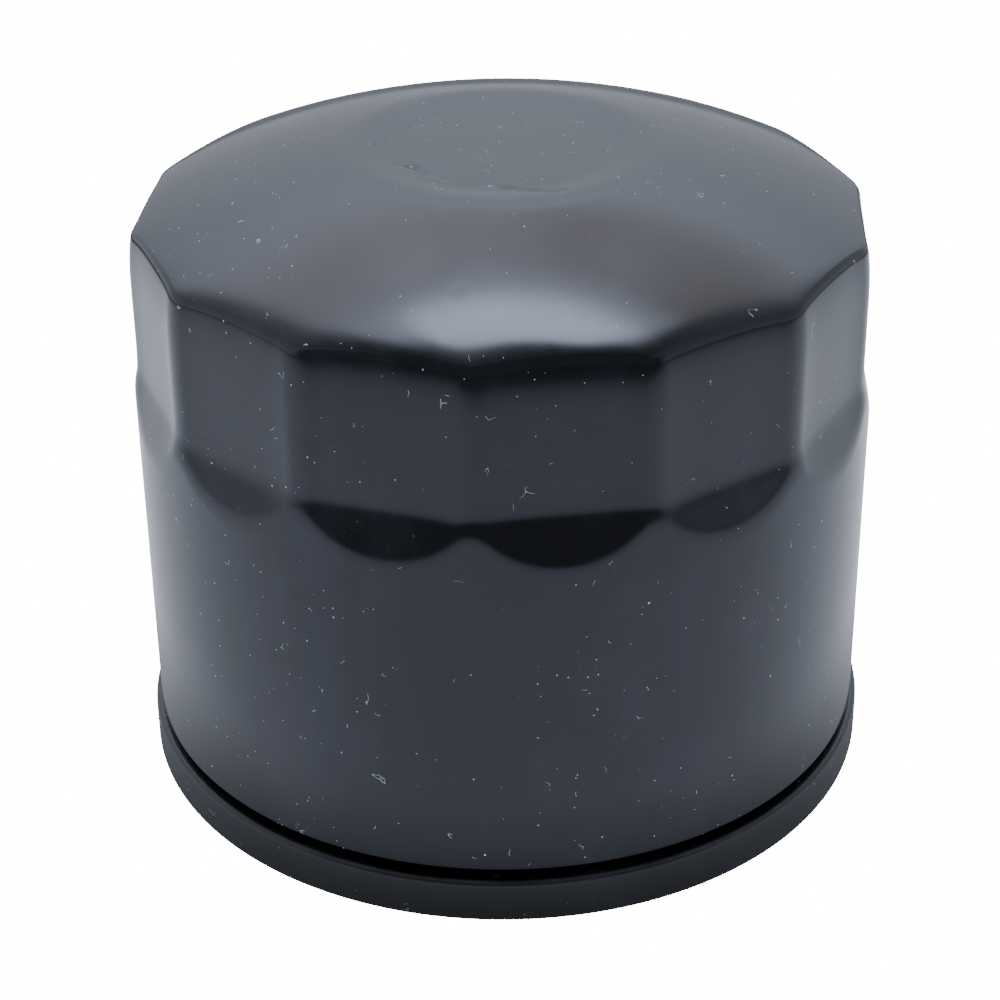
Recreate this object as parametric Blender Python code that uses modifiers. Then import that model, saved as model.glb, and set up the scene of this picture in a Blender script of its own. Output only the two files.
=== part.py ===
"""Spin-on oil filter for a small engine, built in metres with its sealing gasket face on z = 0.

The fluted canister and the seaming lid are rolled together at the bottom rim. The base plate, the anti-drain
valve, the pleated element with its bypass valve and the hold-down spring stand inside.
"""

import math

import bmesh
import bpy

# Overall sizes
TOTAL_HEIGHT = 0.0668
SEAM_OUTER_R = 0.0380

# Sheet steel of canister and lid, and the rolled seam that joins them
SHEET = 0.0005
SEAM_GAP = 0.00025
SEAM_TALL = 0.0045
GASKET_PROUD = 0.0012
GROOVE_TALL = 0.0006
HOOK_SHORT = 0.0009
COMPOUND_TALL = 0.0004
COMPOUND_WIDE = 0.0004

# Canister
WALL_INSET = 0.0004
FLAT_COUNT = 14
FLAT_DEPTH = 0.0013
RIDGE_DEPTH = 0.0005
FLAT_REACH = 0.0216
LEDGE_SLOPE = 0.283
NECK_DROP = 0.0016
DOME_R = 0.0870
SHOULDER_R = 0.0020
RECESS_R = 0.0148
RECESS_DEPTH = 0.0006
RECESS_SLANT = 0.0022

# Gasket and the channel that holds it
GASKET_TALL = 0.0050
GASKET_WIDE = 0.00385
GASKET_ROUND = 0.0006
RIM_LAND = 0.00665
RIM_FLOOR_RISE = 0.0020
LIP_TALL = 0.0028

# Base plate
PLATE_THICK = 0.0025
THREAD_MINOR_R = 0.00875
COLLAR_WALL = 0.00245
COLLAR_TALL = 0.0050
LEAD_IN = 0.0008
INLET_COUNT = 8
INLET_R = 0.0025

# Anti-drain valve
VALVE_HUB_WIDE = 0.0030
VALVE_FOOT_WIDE = 0.0020
VALVE_OVER_COLLAR = 0.0010
VALVE_SKIRT_THICK = 0.0011
VALVE_LIP_WIDE = 0.0018
VALVE_OVERLAP = 0.0013

# Filter element
FLOW_GAP = 0.0028
CAP_SHEET = 0.0005
CAP_RIM_TALL = 0.0033
ADHESIVE_TALL = 0.0010
TUBE_INNER_R = 0.0120
TUBE_WALL = 0.0006
TUBE_HOLE_R = 0.0020
TUBE_HOLES_ROUND = 6
TUBE_HOLE_ROWS = 4
PLEAT_COUNT = 40
PAPER_THICK = 0.0006
PLEAT_TIP_SHARE = 0.27
PLEAT_MARGIN = 0.0012
CLIP_SHEET = 0.0004
CLIP_DEEP = 0.0044
CLIP_SHORT = 0.0015

# Bypass valve in the upper end cap
CAGE_INSET = 0.0020
CAGE_DEEP = 0.0130
CAGE_FLOOR_HOLE_R = 0.0030
WINDOW_WIDE = 0.0045
WINDOW_TALL = 0.0060
BYPASS_HOLE_R = 0.0070
SEAT_TALL = 0.0012
SEAT_LAND = 0.0037
SEAL_TALL = 0.0010
SEAL_HOLE_R = 0.0033
SEAL_INSET = 0.0004
DISC_TALL = 0.0008
STEM_R = 0.0016
STEM_SHORT = 0.0040
COIL_WIRE_R = 0.00045
COIL_TURNS = 4
COIL_INSET = 0.0040

# Hold-down spring
SPRING_TALL = 0.0083
SPRING_SHEET = 0.0006
SPRING_WIDE = 0.0120
SPRING_HALF_LONG = 0.0230
SPRING_FOOT = 0.0040
SPRING_HOLE_R = 0.0030

CLEARANCE = 0.0003

SIDES_CAN = 4 * FLAT_COUNT
SIDES_WIDE = 40
SIDES_NARROW = 28

# Radii of the five layers in the seam, counted from the outside
LAYER_STEP = SHEET + SEAM_GAP
SEAM_WALL_R = SEAM_OUTER_R
BODY_HOOK_R = SEAM_OUTER_R - LAYER_STEP
COVER_HOOK_R = SEAM_OUTER_R - 2 * LAYER_STEP
BODY_WALL_R = SEAM_OUTER_R - 3 * LAYER_STEP
CHUCK_WALL_R = SEAM_OUTER_R - 4 * LAYER_STEP

# Heights of the rim
SEAM_Z0 = GASKET_PROUD
SEAM_Z1 = SEAM_Z0 + SEAM_TALL
HOOK_FLOOR_Z = SEAM_Z0 + 2 * SHEET + SEAM_GAP
HOOK_TOP_Z = SEAM_Z1 - SHEET - HOOK_SHORT
NECK_Z = SEAM_Z1 + GROOVE_TALL
ROOF_Z = GASKET_TALL + CLEARANCE
RIM_FLOOR_Z = SEAM_Z0 + RIM_FLOOR_RISE

# Canister radii and flat heights
WALL_R = SEAM_OUTER_R - WALL_INSET
APOTHEM = WALL_R - FLAT_DEPTH
RIDGE_R = WALL_R - RIDGE_DEPTH
FLAT_Z0 = TOTAL_HEIGHT - FLAT_REACH
LEDGE_Z0 = FLAT_Z0 - FLAT_DEPTH / LEDGE_SLOPE
DOME_CENTRE_Z = TOTAL_HEIGHT - math.sqrt(DOME_R**2 - RECESS_R**2)

# Gasket channel radii
GASKET_R = SEAM_OUTER_R - RIM_LAND
CHANNEL_R = GASKET_R + CLEARANCE + SHEET
LIP_R = GASKET_R - GASKET_WIDE - CLEARANCE - SHEET

# Base plate and valve levels
PLATE_R = CHUCK_WALL_R - SHEET
PLATE_Z0 = ROOF_Z + SHEET + CLEARANCE
PLATE_Z1 = PLATE_Z0 + PLATE_THICK
COLLAR_R = THREAD_MINOR_R + COLLAR_WALL
COLLAR_Z1 = PLATE_Z1 + COLLAR_TALL
INLET_CIRCLE_R = (COLLAR_R + LIP_R) / 2
VALVE_Z0 = PLATE_Z1 + CLEARANCE
VALVE_Z1 = COLLAR_Z1 + VALVE_OVER_COLLAR
VALVE_R = LIP_R + VALVE_OVERLAP

# Element levels, upward from the valve and downward from the dome
LOWER_CAP_Z0 = VALVE_Z1 + CLEARANCE
LOWER_BED_Z0 = LOWER_CAP_Z0 + CAP_SHEET + CLEARANCE
MEDIA_Z0 = LOWER_BED_Z0 + ADHESIVE_TALL + CLEARANCE
SPRING_Z1 = TOTAL_HEIGHT - RECESS_DEPTH - SHEET - CLEARANCE
SPRING_Z0 = SPRING_Z1 - SPRING_TALL
UPPER_CAP_Z1 = SPRING_Z0 - CLEARANCE
UPPER_CAP_Z0 = UPPER_CAP_Z1 - CAP_SHEET
UPPER_BED_Z1 = UPPER_CAP_Z0 - CLEARANCE
MEDIA_Z1 = UPPER_BED_Z1 - ADHESIVE_TALL - CLEARANCE

# Element radii
CAP_R = APOTHEM - SHEET - FLOW_GAP
TUBE_R = TUBE_INNER_R + TUBE_WALL
PLEAT_OUTER_R = CAP_R - CAP_SHEET - PLEAT_MARGIN - PAPER_THICK / 2
PLEAT_INNER_R = TUBE_R + CLEARANCE + PAPER_THICK / 2

# Bypass valve levels and radii
CAGE_R = TUBE_INNER_R - CAGE_INSET
CAGE_BORE_R = CAGE_R - CAP_SHEET
CAGE_Z1 = UPPER_CAP_Z0 - CLEARANCE
CAGE_Z0 = CAGE_Z1 - CAGE_DEEP
SEAT_Z0 = CAGE_Z1 - SEAT_TALL
SEAT_R = CAGE_BORE_R - CLEARANCE
SEAL_Z1 = SEAT_Z0 - CLEARANCE
SEAL_Z0 = SEAL_Z1 - SEAL_TALL
SEAL_R = SEAT_R - CLEARANCE - SEAL_INSET
DISC_Z1 = SEAL_Z0 - CLEARANCE
DISC_Z0 = DISC_Z1 - DISC_TALL
DISC_R = SEAT_R - CLEARANCE
STEM_Z0 = CAGE_Z0 + CAP_SHEET + STEM_SHORT
COIL_Z0 = CAGE_Z0 + CAP_SHEET + CLEARANCE
COIL_Z1 = DISC_Z0 - CLEARANCE
COIL_R = CAGE_BORE_R - COIL_INSET


def clear_file():
    for item in list(bpy.data.objects):
        bpy.data.objects.remove(item, do_unlink=True)


def collection(name):
    made = bpy.data.collections.new(name)
    bpy.context.scene.collection.children.link(made)
    return made


def material(name, colour, metallic, roughness):
    made = bpy.data.materials.new(name)
    made.use_nodes = True
    shader = made.node_tree.nodes["Principled BSDF"]
    shader.inputs["Base Color"].default_value = (*colour, 1.0)
    shader.inputs["Metallic"].default_value = metallic
    shader.inputs["Roughness"].default_value = roughness
    return made


def place(name, data, look, smooth_angle=math.radians(35)):
    """Link one finished piece into the part's collection and shade its round faces smooth."""
    made = bpy.data.objects.new(name, data)
    data.materials.append(look)
    PART.objects.link(made)
    if isinstance(data, bpy.types.Mesh) and smooth_angle:
        data.shade_smooth()
        data.set_sharp_from_angle(angle=smooth_angle)
    return made


def place_cutter(name, data):
    made = bpy.data.objects.new(name, data)
    CUTTERS.objects.link(made)
    made.hide_render = True
    made.display_type = "WIRE"
    return made


def corner_points(before, here, after, radius, steps):
    """Points of an arc that rounds one corner of an outline."""
    to_before = (before[0] - here[0], before[1] - here[1])
    to_after = (after[0] - here[0], after[1] - here[1])
    long_before = math.hypot(*to_before)
    long_after = math.hypot(*to_after)
    reach = min(radius, 0.45 * long_before, 0.45 * long_after)
    start = (here[0] + to_before[0] / long_before * reach, here[1] + to_before[1] / long_before * reach)
    end = (here[0] + to_after[0] / long_after * reach, here[1] + to_after[1] / long_after * reach)
    points = []
    for step in range(steps + 1):
        t = step / steps
        a = (1 - t) ** 2
        b = 2 * t * (1 - t)
        c = t**2
        points.append((a * start[0] + b * here[0] + c * end[0], a * start[1] + b * here[1] + c * end[1]))
    return points


def rounded(outline, radius, steps=1, closed=False):
    """Outline with every corner rounded; an open one keeps its two end points."""
    count = len(outline)
    points = []
    for index, here in enumerate(outline):
        if not closed and index in (0, count - 1):
            points.append(here)
            continue
        points += corner_points(outline[index - 1], here, outline[(index + 1) % count], radius, steps)
    return points


def profile_mesh(name, outline, closed):
    """Edges of a turning profile in the XZ plane, at positive X."""
    mesh = bpy.data.meshes.new(name)
    points = [(r, 0.0, z) for r, z in outline]
    edges = [(i, i + 1) for i in range(len(points) - 1)]
    if closed:
        edges.append((len(points) - 1, 0))
    mesh.from_pydata(points, edges, [])
    return mesh


def add_screw(made, sides):
    screw = made.modifiers.new("turn", "SCREW")
    screw.axis = "Z"
    screw.angle = 2 * math.pi
    screw.steps = sides
    screw.render_steps = sides
    screw.use_merge_vertices = True
    screw.merge_threshold = 0.00001
    screw.use_smooth_shade = True


def add_solidify(made, thickness, offset):
    shell = made.modifiers.new("sheet", "SOLIDIFY")
    shell.thickness = thickness
    shell.offset = offset
    shell.use_even_offset = True


def turned(name, outline, look, sides):
    """Solid of revolution from a closed outline that runs down its outer side."""
    made = place(name, profile_mesh(name, outline, True), look, None)
    add_screw(made, sides)
    return made


def spun_sheet(name, outline, thickness, look, sides):
    """Sheet metal of revolution from the middle line of its section."""
    made = place(name, profile_mesh(name, outline, False), look, None)
    add_screw(made, sides)
    add_solidify(made, thickness, 0.0)
    return made


def ring(name, inner_r, outer_r, z0, z1, look, sides, radius=0.0):
    outline = [(outer_r, z1), (outer_r, z0), (inner_r, z0), (inner_r, z1)]
    if radius:
        outline = rounded(outline, radius, closed=True)
    return turned(name, outline, look, sides)


def cut(made, cutter):
    boolean = made.modifiers.new(f"cut {cutter.name}", "BOOLEAN")
    boolean.operation = "DIFFERENCE"
    boolean.solver = "EXACT"
    boolean.object = cutter


def upright_cylinders(name, spots, radius, z0, z1, sides):
    """One cutter mesh of upright cylinders standing on the listed spots."""
    mesh = bpy.data.meshes.new(name)
    work = bmesh.new()
    for x, y in spots:
        made = bmesh.ops.create_cone(
            work, cap_ends=True, segments=sides, radius1=radius, radius2=radius, depth=z1 - z0
        )
        bmesh.ops.translate(work, verts=made["verts"], vec=(x, y, (z0 + z1) / 2))
    work.to_mesh(mesh)
    work.free()
    return place_cutter(name, mesh)


def dome_z(r):
    return DOME_CENTRE_Z + math.sqrt(DOME_R**2 - r**2)


def canister_outline():
    """Outer side of the canister section from the middle of the dome down to the end of the body hook."""
    floor_z = TOTAL_HEIGHT - RECESS_DEPTH
    points = [
        (0.0, floor_z),
        (RECESS_R - RECESS_SLANT, floor_z),
        (RECESS_R - 0.3 * RECESS_SLANT, TOTAL_HEIGHT - 0.2 * RECESS_DEPTH),
        (RECESS_R, TOTAL_HEIGHT),
    ]
    shoulder_r = RIDGE_R - SHOULDER_R
    shoulder_z = DOME_CENTRE_Z + math.sqrt((DOME_R - SHOULDER_R) ** 2 - shoulder_r**2)
    tangent = math.atan2(shoulder_z - DOME_CENTRE_Z, shoulder_r)
    tangent_r = shoulder_r + SHOULDER_R * math.cos(tangent)
    for share in (0.15, 0.4, 0.65, 0.85):
        r = RECESS_R + share * (tangent_r - RECESS_R)
        points.append((r, dome_z(r)))
    for step in range(4):
        angle = tangent * (1 - step / 3)
        points.append((shoulder_r + SHOULDER_R * math.cos(angle), shoulder_z + SHOULDER_R * math.sin(angle)))
    points += [
        (RIDGE_R, FLAT_Z0),
        (WALL_R, FLAT_Z0 - NECK_DROP),
        (WALL_R, (FLAT_Z0 - NECK_DROP + LEDGE_Z0) / 2),
        (WALL_R, LEDGE_Z0),
    ]
    rim = [
        (WALL_R, LEDGE_Z0),
        (WALL_R, NECK_Z),
        (BODY_WALL_R, NECK_Z),
        (BODY_WALL_R, HOOK_FLOOR_Z),
        (BODY_HOOK_R - SHEET, HOOK_FLOOR_Z),
        (BODY_HOOK_R - SHEET, HOOK_TOP_Z),
    ]
    return points + rounded(rim, SHEET / 2)[1:]


def press_flats(work):
    """Move the turned wall inward onto fourteen upright flats and the ledges under them."""
    pitch = 2 * math.pi / FLAT_COUNT
    for vert in work.verts:
        r = math.hypot(vert.co.x, vert.co.y)
        if vert.co.z < LEDGE_Z0 - 1e-6 or r < APOTHEM:
            continue
        turn = math.atan2(vert.co.y, vert.co.x) + math.pi / 2
        off_centre = (turn + pitch / 2) % pitch - pitch / 2
        plane = APOTHEM + LEDGE_SLOPE * max(0.0, FLAT_Z0 - vert.co.z)
        pressed = min(r, plane / math.cos(off_centre))
        vert.co.x *= pressed / r
        vert.co.y *= pressed / r


def build_canister():
    mesh = bpy.data.meshes.new("canister")
    work = bmesh.new()
    outline = canister_outline()
    verts = [work.verts.new((0.0, -r, z)) for r, z in outline]
    edges = [work.edges.new((verts[i], verts[i + 1])) for i in range(len(verts) - 1)]
    bmesh.ops.spin(
        work,
        geom=verts + edges,
        cent=(0.0, 0.0, 0.0),
        axis=(0.0, 0.0, 1.0),
        angle=2 * math.pi,
        steps=SIDES_CAN,
        use_merge=True,
    )
    bmesh.ops.remove_doubles(work, verts=work.verts[:], dist=0.000005)
    press_flats(work)
    bmesh.ops.recalc_face_normals(work, faces=work.faces[:])
    top = max(work.faces, key=lambda face: face.calc_center_median().z)
    if top.normal.z < 0:
        bmesh.ops.reverse_faces(work, faces=work.faces[:])
    work.to_mesh(mesh)
    work.free()
    made = place("canister", mesh, material("can_paint", (0.030, 0.032, 0.037), 0.0, 0.35), math.radians(7.5))
    add_solidify(made, SHEET, -1.0)


def build_rim():
    """Seaming lid rolled around the canister hook, the compound in the seam, and the gasket in its channel."""
    half = SHEET / 2
    rolled = [
        (COVER_HOOK_R - half, HOOK_FLOOR_Z + SEAM_GAP + SHEET),
        (COVER_HOOK_R - half, SEAM_Z1 - half),
        (SEAM_WALL_R - half, SEAM_Z1 - half),
        (SEAM_WALL_R - half, SEAM_Z0 + half),
        (CHUCK_WALL_R - half, SEAM_Z0 + half),
        (CHUCK_WALL_R - half, RIM_FLOOR_Z + half),
    ]
    channel = [
        (CHANNEL_R - half, RIM_FLOOR_Z + half),
        (CHANNEL_R - half, ROOF_Z + half),
        (LIP_R + half, ROOF_Z + half),
        (LIP_R + half, ROOF_Z + SHEET - LIP_TALL),
    ]
    lid = material("lid_paint", (0.020, 0.021, 0.024), 0.0, 0.45)
    spun_sheet("seaming_lid", rounded(rolled, half) + channel, SHEET, lid, SIDES_CAN)

    compound_r = BODY_HOOK_R - half
    compound_z = (HOOK_TOP_Z + SEAM_Z1 - SHEET) / 2
    ring(
        "seam_compound",
        compound_r - COMPOUND_WIDE / 2,
        compound_r + COMPOUND_WIDE / 2,
        compound_z - COMPOUND_TALL / 2,
        compound_z + COMPOUND_TALL / 2,
        material("compound_rubber", (0.30, 0.29, 0.27), 0.0, 0.7),
        SIDES_CAN,
    )
    ring(
        "sealing_gasket",
        GASKET_R - GASKET_WIDE,
        GASKET_R,
        0.0,
        GASKET_TALL,
        material("gasket_rubber", (0.018, 0.018, 0.018), 0.0, 0.55),
        SIDES_WIDE,
        GASKET_ROUND,
    )


def build_base_plate():
    """Thick plate with a threaded collar in the middle and a circle of inlet holes."""
    outline = [
        (COLLAR_R, COLLAR_Z1),
        (COLLAR_R, PLATE_Z1),
        (PLATE_R, PLATE_Z1),
        (PLATE_R, PLATE_Z0),
        (THREAD_MINOR_R + LEAD_IN, PLATE_Z0),
        (THREAD_MINOR_R, PLATE_Z0 + LEAD_IN),
        (THREAD_MINOR_R, COLLAR_Z1),
    ]
    made = turned("base_plate", outline, material("plate_steel", (0.55, 0.56, 0.56), 1.0, 0.35), SIDES_WIDE)
    spots = []
    for index in range(INLET_COUNT):
        angle = 2 * math.pi * (index + 0.5) / INLET_COUNT
        spots.append((INLET_CIRCLE_R * math.cos(angle), INLET_CIRCLE_R * math.sin(angle)))
    low = PLATE_Z0 - PLATE_THICK
    high = PLATE_Z1 + PLATE_THICK
    cut(made, upright_cylinders("cut_inlets", spots, INLET_R, low, high, 16))


def build_valve():
    """Rubber anti-drain valve: a hub round the collar and a cone skirt that rests on the plate."""
    hub_inner = COLLAR_R + CLEARANCE
    hub_outer = hub_inner + VALVE_HUB_WIDE
    skirt_z = VALVE_Z1 - VALVE_OVER_COLLAR - VALVE_SKIRT_THICK
    outline = [
        (hub_outer, VALVE_Z1),
        (hub_outer + 0.0008, skirt_z + VALVE_SKIRT_THICK),
        (VALVE_R - VALVE_LIP_WIDE, VALVE_Z0 + VALVE_SKIRT_THICK),
        (VALVE_R, VALVE_Z0 + 0.6 * VALVE_SKIRT_THICK),
        (VALVE_R, VALVE_Z0),
        (VALVE_R - VALVE_LIP_WIDE, VALVE_Z0),
        (hub_outer, skirt_z),
        (hub_inner + VALVE_FOOT_WIDE, skirt_z - 0.0005),
        (hub_inner + VALVE_FOOT_WIDE, VALVE_Z0),
        (hub_inner, VALVE_Z0),
        (hub_inner, VALVE_Z1),
    ]
    look = material("valve_rubber", (0.16, 0.035, 0.022), 0.0, 0.5)
    turned("anti_drain_valve", outline, look, SIDES_WIDE)


def build_end_caps():
    half = CAP_SHEET / 2
    steel = (0.62, 0.62, 0.60)
    lip_r = TUBE_INNER_R - CLEARANCE - half
    lower = [
        (CAP_R - half, LOWER_CAP_Z0 + CAP_RIM_TALL),
        (CAP_R - half, LOWER_CAP_Z0 + half),
        (lip_r, LOWER_CAP_Z0 + half),
        (lip_r, LOWER_CAP_Z0 + CAP_RIM_TALL),
    ]
    spun_sheet(
        "lower_end_cap", rounded(lower, half), CAP_SHEET, material("lower_cap_steel", steel, 1.0, 0.35), SIDES_WIDE
    )
    upper = [
        (BYPASS_HOLE_R, UPPER_CAP_Z1 - half),
        (CAP_R - half, UPPER_CAP_Z1 - half),
        (CAP_R - half, UPPER_CAP_Z1 - CAP_RIM_TALL),
    ]
    spun_sheet(
        "upper_end_cap", rounded(upper, half), CAP_SHEET, material("upper_cap_steel", steel, 1.0, 0.35), SIDES_WIDE
    )
    inner_r = TUBE_R + CLEARANCE
    outer_r = CAP_R - CAP_SHEET - CLEARANCE
    tan = (0.42, 0.33, 0.20)
    ring(
        "lower_adhesive",
        inner_r,
        outer_r,
        LOWER_BED_Z0,
        LOWER_BED_Z0 + ADHESIVE_TALL,
        material("lower_adhesive_resin", tan, 0.0, 0.4),
        SIDES_WIDE,
    )
    ring(
        "upper_adhesive",
        inner_r,
        outer_r,
        UPPER_BED_Z1 - ADHESIVE_TALL,
        UPPER_BED_Z1,
        material("upper_adhesive_resin", tan, 0.0, 0.4),
        SIDES_WIDE,
    )


def build_center_tube():
    """Perforated steel tube that carries the pleats."""
    look = material("tube_steel", (0.50, 0.51, 0.52), 1.0, 0.4)
    made = ring("center_tube", TUBE_INNER_R, TUBE_R, LOWER_BED_Z0, UPPER_BED_Z1, look, 36)
    mesh = bpy.data.meshes.new("cut_tube_holes")
    work = bmesh.new()
    first = MEDIA_Z0 + CAP_RIM_TALL
    last = CAGE_Z0 - CAP_RIM_TALL
    for row in range(TUBE_HOLE_ROWS):
        z = first + (last - first) * row / (TUBE_HOLE_ROWS - 1)
        for index in range(TUBE_HOLES_ROUND):
            angle = 2 * math.pi * (index + 0.5 * (row % 2)) / TUBE_HOLES_ROUND
            made_cone = bmesh.ops.create_cone(
                work,
                cap_ends=True,
                segments=10,
                radius1=TUBE_HOLE_R,
                radius2=TUBE_HOLE_R,
                depth=6 * TUBE_WALL,
            )
            verts = made_cone["verts"]
            for vert in verts:
                x, y, up = vert.co
                out = TUBE_INNER_R + TUBE_WALL / 2 + up
                vert.co.x = out * math.cos(angle) - y * math.sin(angle)
                vert.co.y = out * math.sin(angle) + y * math.cos(angle)
                vert.co.z = z - x
    work.to_mesh(mesh)
    work.free()
    cut(made, place_cutter("cut_tube_holes", mesh))


def pleat_points():
    """Middle line of the folded paper seen from above, with a flat tip on every fold."""
    points = []
    pitch = 2 * math.pi / PLEAT_COUNT
    for index in range(PLEAT_COUNT):
        centre = index * pitch
        tip = PLEAT_TIP_SHARE * pitch / 2
        for angle, r in (
            (centre - tip, PLEAT_OUTER_R),
            (centre + tip, PLEAT_OUTER_R),
            (centre + pitch / 4, PLEAT_INNER_R),
            (centre + 3 * pitch / 4, PLEAT_INNER_R),
        ):
            points.append((r * math.cos(angle), r * math.sin(angle)))
    return points


def build_media():
    points = pleat_points()
    count = len(points)
    verts = [(x, y, MEDIA_Z0) for x, y in points] + [(x, y, MEDIA_Z1) for x, y in points]
    faces = [(i, (i + 1) % count, count + (i + 1) % count, count + i) for i in range(count)]
    mesh = bpy.data.meshes.new("pleated_media")
    mesh.from_pydata(verts, [], faces)
    made = place("pleated_media", mesh, material("media_paper", (0.72, 0.55, 0.27), 0.0, 0.85), None)
    add_solidify(made, PAPER_THICK, 0.0)

    fold_half = PLEAT_OUTER_R * math.sin(PLEAT_TIP_SHARE * math.pi / PLEAT_COUNT) + PAPER_THICK / 2
    inside = fold_half + CLEARANCE
    outside = inside + CLIP_SHEET
    web = PLEAT_OUTER_R + PAPER_THICK / 2 + CLEARANCE
    tail = web - CLIP_DEEP
    outline = [
        (tail, -outside),
        (web + CLIP_SHEET, -outside),
        (web + CLIP_SHEET, outside),
        (tail, outside),
        (tail, inside),
        (web, inside),
        (web, -inside),
        (tail, -inside),
    ]
    curve = bpy.data.curves.new("media_seam_clip", "CURVE")
    curve.dimensions = "2D"
    curve.fill_mode = "BOTH"
    curve.extrude = (MEDIA_Z1 - MEDIA_Z0) / 2 - CLIP_SHORT
    spline = curve.splines.new("POLY")
    spline.points.add(len(outline) - 1)
    for point, (x, y) in zip(spline.points, outline):
        point.co = (x, y, 0.0, 1.0)
    spline.use_cyclic_u = True
    clip = place("media_seam_clip", curve, material("clip_steel", (0.58, 0.58, 0.57), 1.0, 0.35))
    clip.location = (0.0, 0.0, (MEDIA_Z0 + MEDIA_Z1) / 2)


def build_bypass():
    """Seat, seal, plunger, stem, coil spring and cage that hang in the middle of the upper end cap."""
    half = CAP_SHEET / 2
    ring(
        "bypass_seat",
        SEAT_R - SEAT_LAND,
        SEAT_R,
        SEAT_Z0,
        CAGE_Z1,
        material("seat_steel", (0.60, 0.60, 0.60), 1.0, 0.3),
        SIDES_NARROW,
    )
    ring(
        "bypass_seal",
        SEAL_HOLE_R,
        SEAL_R,
        SEAL_Z0,
        SEAL_Z1,
        material("seal_rubber", (0.02, 0.02, 0.02), 0.0, 0.6),
        SIDES_NARROW,
    )
    ring(
        "bypass_plunger",
        STEM_R + CLEARANCE,
        DISC_R,
        DISC_Z0,
        DISC_Z1,
        material("plunger_steel", (0.64, 0.64, 0.62), 1.0, 0.3),
        SIDES_NARROW,
    )
    head_r = SEAL_HOLE_R - CLEARANCE
    stem = [
        (0.0, SEAL_Z1 - CLEARANCE),
        (head_r, SEAL_Z1 - CLEARANCE),
        (head_r, DISC_Z1 + CLEARANCE),
        (STEM_R, DISC_Z1 + CLEARANCE),
        (STEM_R, STEM_Z0 + STEM_R / 2),
        (STEM_R / 2, STEM_Z0),
        (0.0, STEM_Z0),
    ]
    look = material("stem_steel", (0.66, 0.62, 0.50), 1.0, 0.3)
    made = place("plunger_stem", profile_mesh("plunger_stem", stem, False), look, None)
    add_screw(made, 20)

    cage = [
        (TUBE_INNER_R - CLEARANCE, CAGE_Z1 - half),
        (CAGE_R - half, CAGE_Z1 - half),
        (CAGE_R - half, CAGE_Z0 + half),
        (CAGE_FLOOR_HOLE_R, CAGE_Z0 + half),
    ]
    made = spun_sheet(
        "bypass_cage", rounded(cage, half), CAP_SHEET, material("cage_steel", (0.52, 0.53, 0.53), 1.0, 0.35), SIDES_NARROW
    )
    window_z = CAGE_Z0 + CAP_SHEET + 0.0012 + WINDOW_TALL / 2
    mesh = bpy.data.meshes.new("cut_windows")
    work = bmesh.new()
    for index in range(4):
        angle = math.pi / 4 + index * math.pi / 2
        box = bmesh.ops.create_cube(work, size=1.0)
        for vert in box["verts"]:
            out = CAGE_R - half + vert.co.x * 0.0040
            side = vert.co.y * WINDOW_WIDE
            vert.co.x = out * math.cos(angle) - side * math.sin(angle)
            vert.co.y = out * math.sin(angle) + side * math.cos(angle)
            vert.co.z = window_z + vert.co.z * WINDOW_TALL
    work.to_mesh(mesh)
    work.free()
    cut(made, place_cutter("cut_windows", mesh))

    curve = bpy.data.curves.new("bypass_spring", "CURVE")
    curve.dimensions = "3D"
    curve.bevel_depth = COIL_WIRE_R
    curve.bevel_resolution = 2
    curve.use_fill_caps = True
    spline = curve.splines.new("POLY")
    per_turn = 14
    count = COIL_TURNS * per_turn + 1
    spline.points.add(count - 1)
    low = COIL_Z0 + COIL_WIRE_R
    high = COIL_Z1 - COIL_WIRE_R
    for index, point in enumerate(spline.points):
        t = index / (count - 1)
        angle = 2 * math.pi * COIL_TURNS * t
        point.co = (COIL_R * math.cos(angle), COIL_R * math.sin(angle), low + (high - low) * t, 1.0)
    place("bypass_spring", curve, material("coil_steel", (0.45, 0.46, 0.48), 1.0, 0.3))


def build_hold_down_spring():
    """Bowed leaf spring with two flat feet on the upper end cap, its middle under the dome."""
    mesh = bpy.data.meshes.new("hold_down_spring")
    work = bmesh.new()
    bmesh.ops.create_grid(work, x_segments=22, y_segments=2, size=1.0)
    rise = SPRING_TALL - SPRING_SHEET
    for vert in work.verts:
        along = vert.co.x
        x = along * SPRING_HALF_LONG
        bow = max(0.0, 1.0 - (abs(x) / (SPRING_HALF_LONG - SPRING_FOOT)) ** 2)
        waist = 1.0 - 0.35 * min(1.0, abs(along)) ** 1.5
        vert.co.x = x
        vert.co.y = vert.co.y * SPRING_WIDE / 2 * waist
        vert.co.z = SPRING_Z0 + SPRING_SHEET / 2 + rise * bow**1.2
    work.to_mesh(mesh)
    work.free()
    made = place("hold_down_spring", mesh, material("spring_steel", (0.42, 0.44, 0.47), 1.0, 0.3), None)
    add_solidify(made, SPRING_SHEET, 0.0)
    high = SPRING_Z1 + SPRING_SHEET
    cut(made, upright_cylinders("cut_spring_hole", [(0.0, 0.0)], SPRING_HOLE_R, SPRING_Z0, high, 16))


clear_file()
PART = collection("oil_filter")
CUTTERS = collection("cutters")
build_canister()
build_rim()
build_base_plate()
build_valve()
build_end_caps()
build_center_tube()
build_media()
build_bypass()
build_hold_down_spring()
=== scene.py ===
"""Looks of a spin-on oil filter: the fluted black canister, its rolled rim and what shows from below.

Lengths in the shape functions are millimetres until a mesh is made, and the gasket face is z = 0.
"""

import math

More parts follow.
